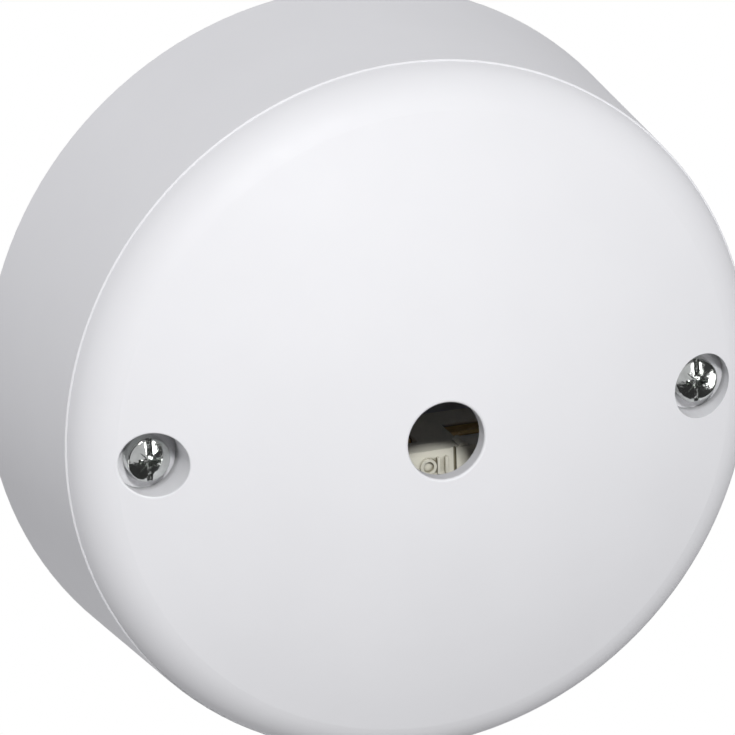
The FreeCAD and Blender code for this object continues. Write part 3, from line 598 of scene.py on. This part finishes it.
FLOOR_DROP = 4.5
FLOOR_WIDTH = 3.2
FLOOR_CELLS = 8
FLOOR_ROUGHNESS = 0.9
FLOOR_COLOUR = (0.84, 0.84, 0.84)
FLOOR_PATCH = (0.80, 0.80, 0.80)
PATCH_SIZE = 0.8

# Strength of the world's light from the ceiling's side and from the room's side
SURROUND = 0.63
ROOM = 0.035
HORIZON = 0.03
WORLD_LIGHT = (0.98, 0.98, 1.0, 1)
WORLD_SEEN = (1, 1, 1, 1)

LAMP_DISTANCE = 3.0
# Name, direction in the camera's own axes, width and height in metres, power in watts
LAMPS = (
    ("key", (0.12, 0.30, 0.95), 0.35, 0.35, 70),
    ("left", (-0.68, -0.56, 0.47), 1.4, 1.4, 15),
    ("right", (0.64, -0.24, 0.73), 1.1, 0.7, 17),
    ("low_right", (0.86, -0.44, 0.26), 0.9, 0.9, 8),
)


def make_lamps():
    """Soft boxes that face the rose."""
    for name, direction, width, height, power in LAMPS:
        data = bpy.data.lights.new(name, "AREA")
        data.shape = "RECTANGLE"
        data.size = width
        data.size_y = height
        data.energy = power
        lamp = bpy.data.objects.new(name, data)
        back = (AXES @ Vector(direction)).normalized()
        turn = back.to_track_quat("Z", "Y").to_matrix().to_4x4()
        lamp.matrix_world = Matrix.Translation(AIM + back * LAMP_DISTANCE) @ turn
        bpy.context.scene.collection.objects.link(lamp)


def make_floor():
    """A plain pale floor, well below the ceiling that carries the rose."""
    bm = bmesh.new()
    bmesh.ops.create_grid(
        bm, x_segments=FLOOR_CELLS, y_segments=FLOOR_CELLS, size=FLOOR_WIDTH / 2
    )
    mesh = bpy.data.meshes.new("floor")
    bm.to_mesh(mesh)
    bm.free()
    floor = new_object("floor", mesh)
    floor.location.z = -FLOOR_DROP
    shader = Shader("floor", Roughness=FLOOR_ROUGHNESS)
    patches = shader.noise(PATCH_SIZE, detail=2)
    shader.drive("Base Color", shader.tint(patches, FLOOR_COLOUR, FLOOR_PATCH))
    mesh.materials.append(shader.material)


def make_world():
    """White to look at, with most of its light on the ceiling's side."""
    world = bpy.data.worlds.new("studio")
    bpy.context.scene.world = world
    world.use_nodes = True
    tree = world.node_tree
    tree.nodes.clear()

    def add(kind, values=(), links=()):
        node = tree.nodes.new(kind)
        for socket, value in values:
            node.inputs[socket].default_value = value
        for socket, out in links:
            tree.links.new(out, node.inputs[socket])
        return node

    direction = add("ShaderNodeTexCoord").outputs["Generated"]
    upwards = add("ShaderNodeSeparateXYZ", links=[(0, direction)]).outputs["Z"]
    strength = add(
        "ShaderNodeMapRange",
        values=[
            ("From Min", -HORIZON),
            ("From Max", HORIZON),
            ("To Min", ROOM),
            ("To Max", SURROUND),
        ],
        links=[("Value", upwards)],
    ).outputs["Result"]
    light = add(
        "ShaderNodeBackground",
        values=[("Color", WORLD_LIGHT)],
        links=[("Strength", strength)],
    )
    seen = add("ShaderNodeBackground", values=[("Color", WORLD_SEEN), ("Strength", 1.0)])
    path = add("ShaderNodeLightPath")
    mix = add(
        "ShaderNodeMixShader",
        links=[(0, path.outputs["Is Camera Ray"]), (1, light.outputs[0]), (2, seen.outputs[0])],
    )
    add("ShaderNodeOutputWorld", links=[("Surface", mix.outputs["Shader"])])


make_camera()
make_world()
make_floor()
make_lamps()

for node in nodes:
    dress(nodes[node], slot_of[node])

make_screws()
broken_edges("terminal_block", BLOCK_BREAK)
broken_edges("cord_grip_saddle", SADDLE_BREAK)
for node in nodes:
    if node.startswith(("clamp_plate", "terminal_bar")):
        broken_edges(node, STAMPING_BREAK)

scene = bpy.context.scene
scene.view_settings.view_transform = "Standard"
scene.cycles.use_denoising = True
